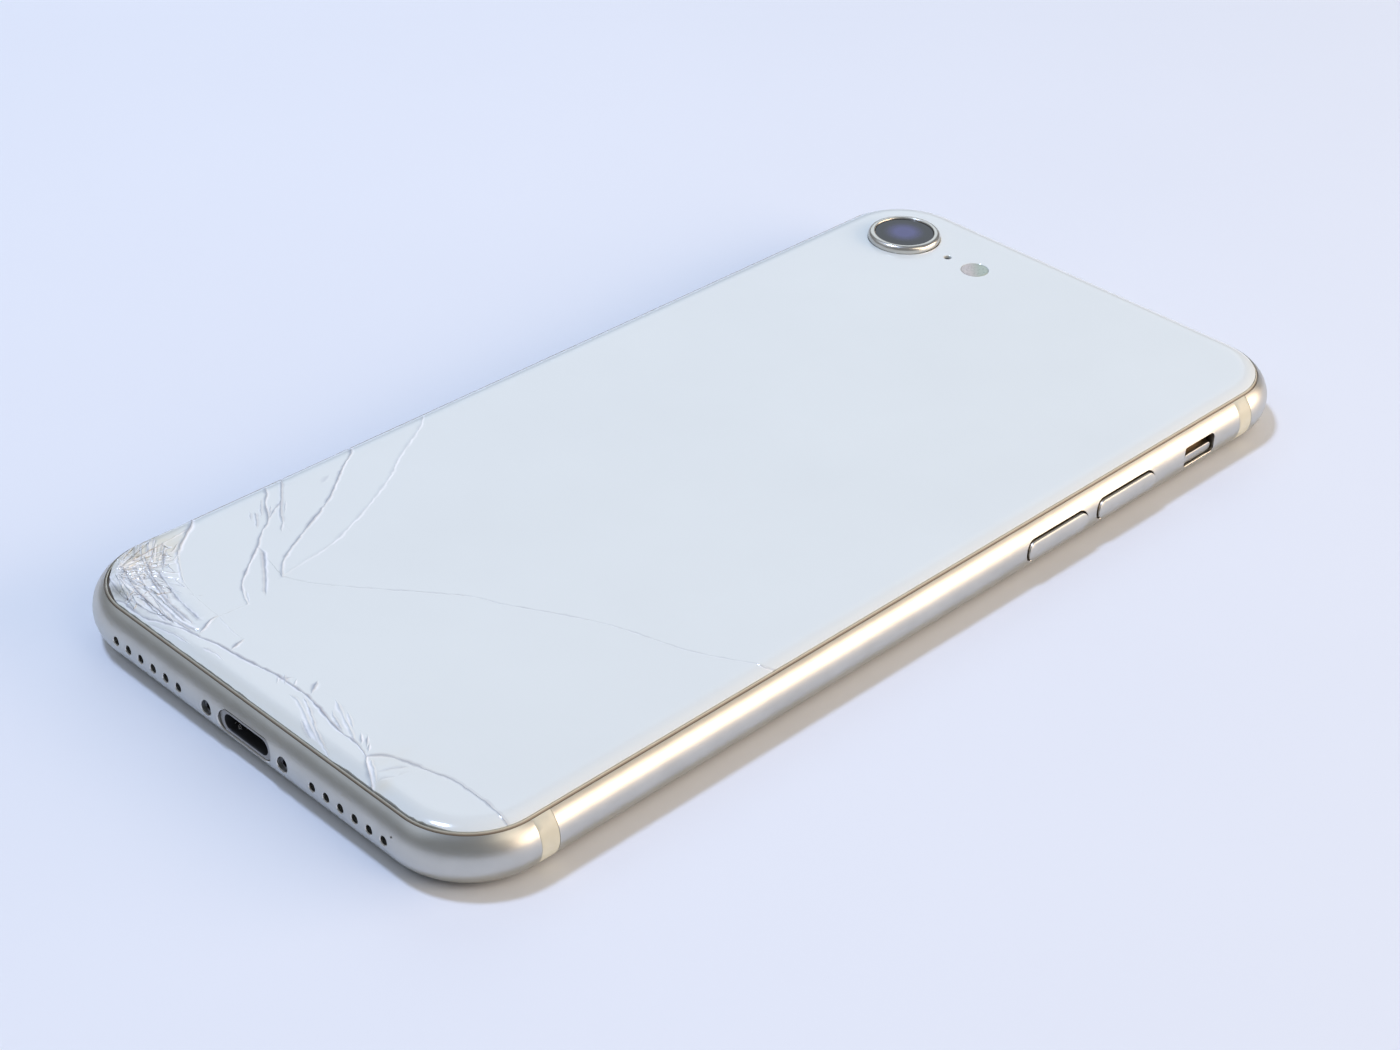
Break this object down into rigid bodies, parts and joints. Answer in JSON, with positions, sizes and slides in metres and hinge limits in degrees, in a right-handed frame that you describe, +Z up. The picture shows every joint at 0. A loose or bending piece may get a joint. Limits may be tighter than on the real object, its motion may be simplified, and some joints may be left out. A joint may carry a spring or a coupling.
{
  "type": "smartphone with cracked rear glass",
  "caption": "Slim round-edged smartphone lying on its screen: metal band, cream antenna strips, cracked milky rear glass in shards, camera ring, side keys, tray and port.",
  "frame": {"origin": "centre of the footprint, on the surface the phone lies on, at the face of the front glass", "axes": "+Z up out of the rear glass, +Y towards the rear camera end, +X towards the side with the volume keys"},
  "size_m": [0.0678, 0.1384, 0.0082],
  "materials": {
    "band_metal": "satin anodised champagne silver",
    "band_plastic": "smooth cream moulding",
    "milky_glass": "glossy, colour coated on the inside, cracked",
    "gasket": "thin bonded ring",
    "steel": "pressed sheet",
    "copper": "flat wound wire",
    "ferrite": "thin sheet",
    "polished_metal": "polished ring",
    "lens_glass": "coated optical glass",
    "flash_plastic": "ribbed diffuser",
    "black_glass": "glossy black cover glass",
    "sapphire": "glossy disc",
    "display_stack": "bonded layers",
    "dark_plastic": "moulded",
    "mesh_metal": "fine mesh",
    "contact_gold": "plated",
    "tungsten": "sintered block",
    "battery_wrap": "foil pouch",
    "tape": "stretch tape",
    "board_green": "solder mask"
  },
  "bodies": {
    "housing": {"frame": "band_metal", "antenna_bands": "band_plastic", "rear_glass": "milky_glass", "glass_shard_lower": "milky_glass", "glass_shard_1": "milky_glass", "glass_shard_2": "milky_glass", "glass_shard_3": "milky_glass", "glass_shard_4": "milky_glass", "glass_shard_corner": "milky_glass", "glass_shard_bottom": "milky_glass", "glass_shard_right": "milky_glass", "rear_gasket": "gasket", "glass_adhesive": "gasket", "back_plate": "steel", "charging_coil": "copper", "coil_ferrite": "ferrite", "camera_ring": "polished_metal", "camera_window": "lens_glass", "flash_lens": "flash_plastic", "flash_led": "flash_plastic", "rear_microphone": "steel", "front_glass": "black_glass", "front_gasket": "gasket", "display_bezel": "dark_plastic", "lcd_panel": "display_stack", "backlight": "display_stack", "display_shield": "steel", "home_button": "sapphire", "home_button_ring": "polished_metal", "home_button_bracket": "steel", "earpiece_mesh": "mesh_metal", "earpiece_speaker": "dark_plastic", "front_camera": "dark_plastic", "proximity_sensor": "dark_plastic", "volume_switches": "steel", "side_switch": "steel", "mute_switch_base": "dark_plastic", "sim_reader": "steel", "charge_port": "dark_plastic", "port_contacts": "contact_gold", "bottom_screws": "steel", "speaker_mesh": "mesh_metal", "microphone_mesh": "mesh_metal", "loudspeaker": "dark_plastic", "bottom_microphones": "steel", "haptic_motor": "steel", "battery": "battery_wrap", "battery_strips": "tape", "logic_board": "board_green", "board_shields": "steel", "rear_camera": "dark_plastic", "board_screws": "steel"},
    "volume_up": {"volume_up_button": "band_metal"},
    "volume_down": {"volume_down_button": "band_metal"},
    "side_key": {"side_button": "band_metal"},
    "mute_slider": {"mute_switch": "band_metal"},
    "tray": {"sim_tray": "band_metal"},
    "haptic_weight": {"haptic_mass": "tungsten"},
    "lens_barrel": {"camera_lens": "lens_glass"}
  },
  "joints": [
    {"name": "volume_up_press", "type": "slide", "parent": "housing", "child": "volume_up", "axis": [-1, 0, 0], "range_m": [0, 0.00025], "stiffness_N_per_m": 4000},
    {"name": "volume_down_press", "type": "slide", "parent": "housing", "child": "volume_down", "axis": [-1, 0, 0], "range_m": [0, 0.00025], "stiffness_N_per_m": 4000},
    {"name": "side_button_press", "type": "slide", "parent": "housing", "child": "side_key", "axis": [1, 0, 0], "range_m": [0, 0.00025], "stiffness_N_per_m": 4000},
    {"name": "mute_switch_slide", "type": "slide", "parent": "housing", "child": "mute_slider", "axis": [0, 0, 1], "range_m": [0, 0.001]},
    {"name": "sim_tray_slide", "type": "slide", "parent": "housing", "child": "tray", "axis": [-1, 0, 0], "range_m": [0, 0.0145]},
    {"name": "haptic_mass_slide", "type": "slide", "parent": "housing", "child": "haptic_weight", "axis": [1, 0, 0], "range_m": [-0.0004, 0.0004], "stiffness_N_per_m": 3000},
    {"name": "lens_focus_slide", "type": "slide", "parent": "housing", "child": "lens_barrel", "axis": [0, 0, 1], "range_m": [0, 0.0002], "stiffness_N_per_m": 100}
  ]
}
